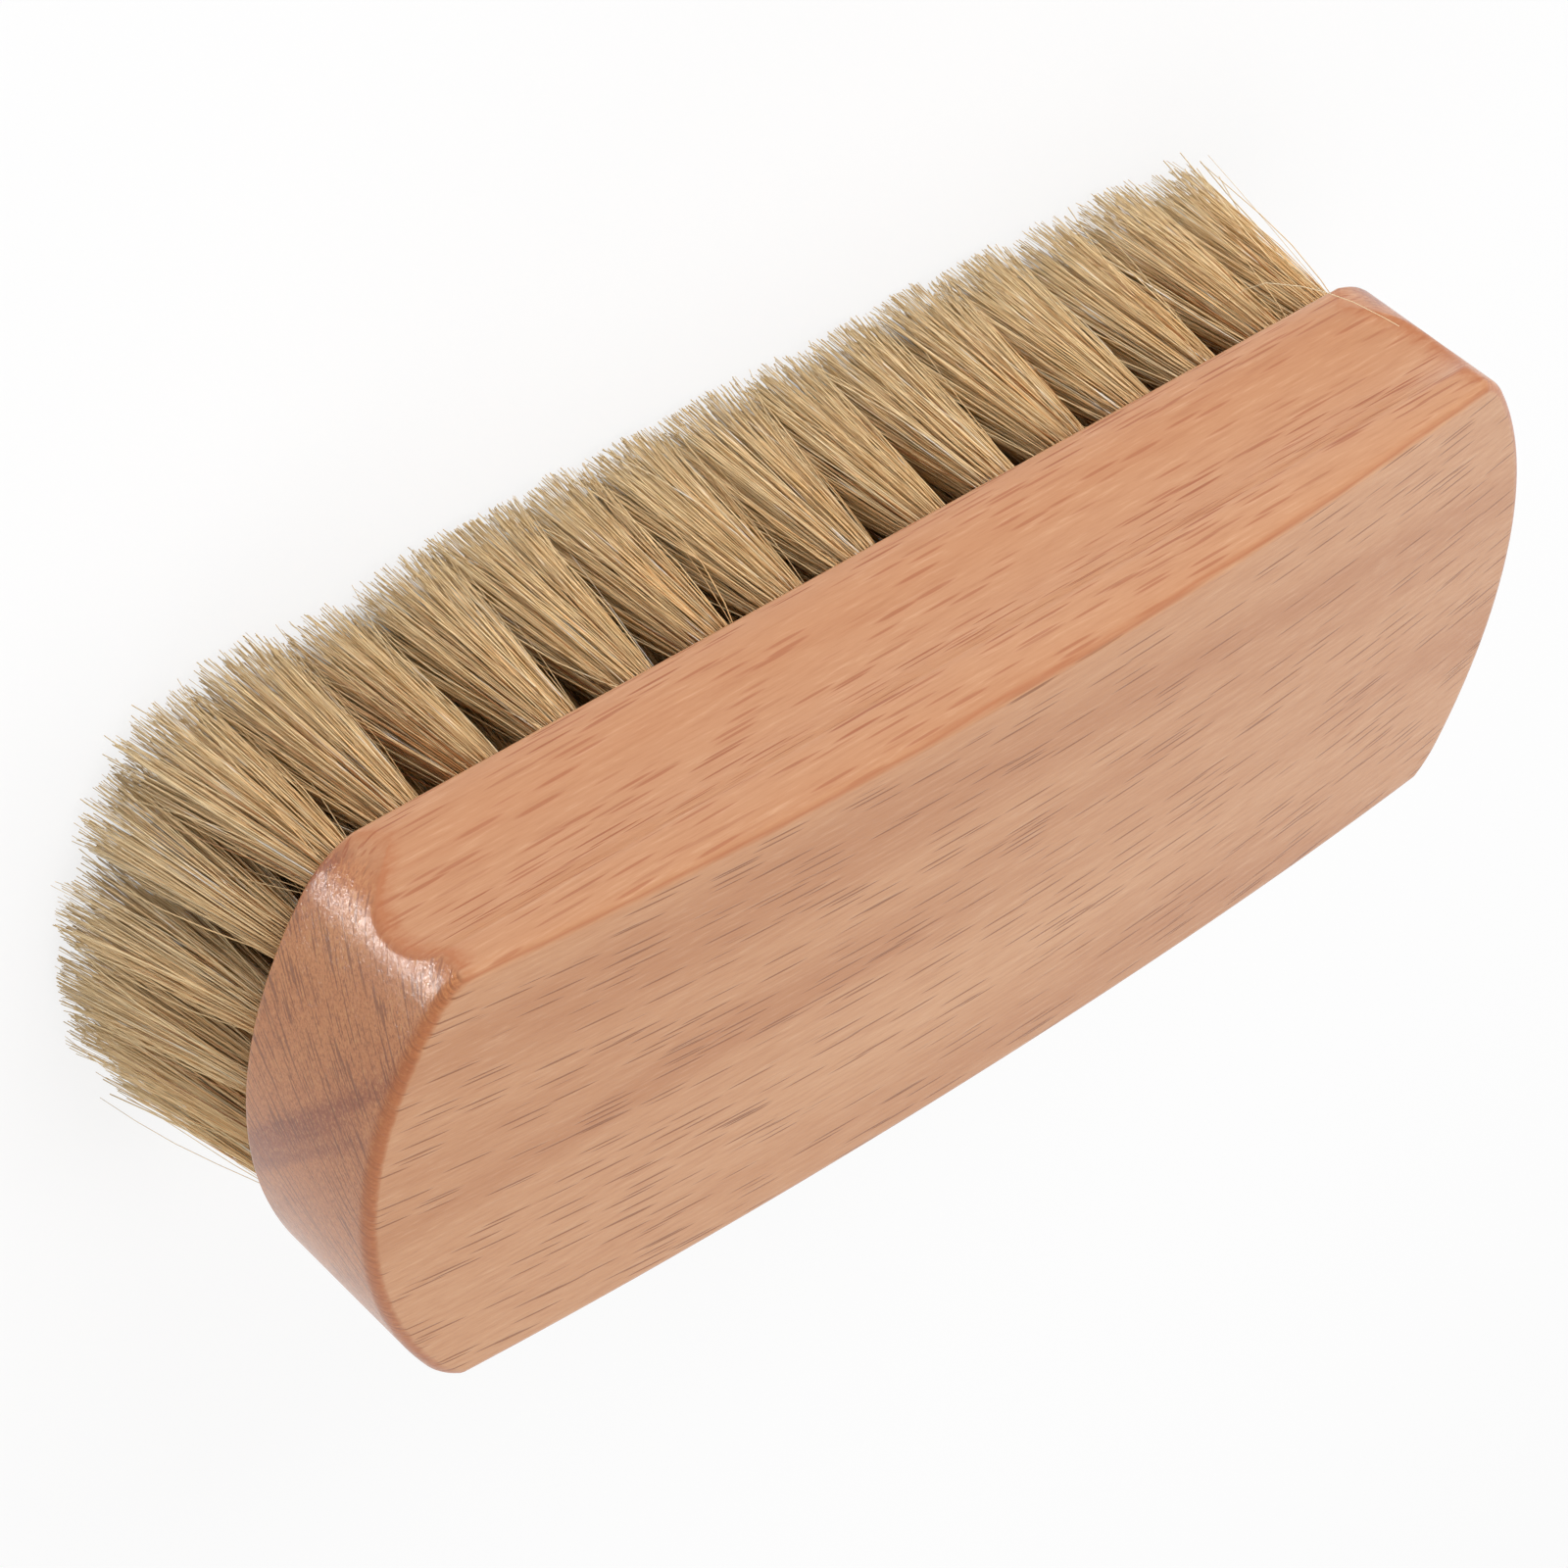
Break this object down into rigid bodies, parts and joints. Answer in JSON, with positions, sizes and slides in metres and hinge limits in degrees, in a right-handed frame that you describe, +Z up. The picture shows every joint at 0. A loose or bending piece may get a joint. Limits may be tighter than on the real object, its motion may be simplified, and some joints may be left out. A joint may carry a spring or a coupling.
{
  "type": "shoe shine brush",
  "caption": "Hand-held shoe shine brush: a crowned wooden block with a finger groove along each long side and a dense field of trimmed natural bristle below.",
  "frame": {"origin": "centre of the trimmed bristle tips, on the surface that the brush stands on", "axes": "+X along the brush, towards the end that is nearer in the picture; +Z up through the wooden block; -Y towards the long side that shows in the picture"},
  "size_m": [0.157, 0.0622, 0.048],
  "materials": {
    "beech": "satin clear lacquer",
    "bristle": "natural hair, straw blond with brown hairs",
    "anchor_wire": "plain drawn wire"
  },
  "bodies": {
    "root": {"block": "beech", "anchors": "anchor_wire", "tuft_front_1": "bristle", "tuft_front_2": "bristle", "tuft_front_3": "bristle", "tuft_front_4": "bristle", "tuft_front_5": "bristle", "tuft_front_6": "bristle", "tuft_front_7": "bristle", "tuft_front_8": "bristle", "tuft_front_9": "bristle", "tuft_front_10": "bristle", "tuft_front_11": "bristle", "tuft_front_12": "bristle", "tuft_front_13": "bristle", "tuft_back_1": "bristle", "tuft_back_2": "bristle", "tuft_back_3": "bristle", "tuft_back_4": "bristle", "tuft_back_5": "bristle", "tuft_back_6": "bristle", "tuft_back_7": "bristle", "tuft_back_8": "bristle", "tuft_back_9": "bristle", "tuft_back_10": "bristle", "tuft_back_11": "bristle", "tuft_back_12": "bristle", "tuft_back_13": "bristle", "tuft_left_1": "bristle", "tuft_left_2": "bristle", "tuft_left_3": "bristle", "tuft_left_4": "bristle", "tuft_left_5": "bristle", "tuft_left_6": "bristle", "tuft_left_7": "bristle", "tuft_right_1": "bristle", "tuft_right_2": "bristle", "tuft_right_3": "bristle", "tuft_right_4": "bristle", "tuft_right_5": "bristle", "tuft_right_6": "bristle", "tuft_right_7": "bristle", "inner_tufts_1": "bristle", "inner_tufts_2": "bristle", "inner_tufts_3": "bristle", "inner_tufts_4": "bristle", "inner_tufts_5": "bristle"}
  },
  "joints": []
}
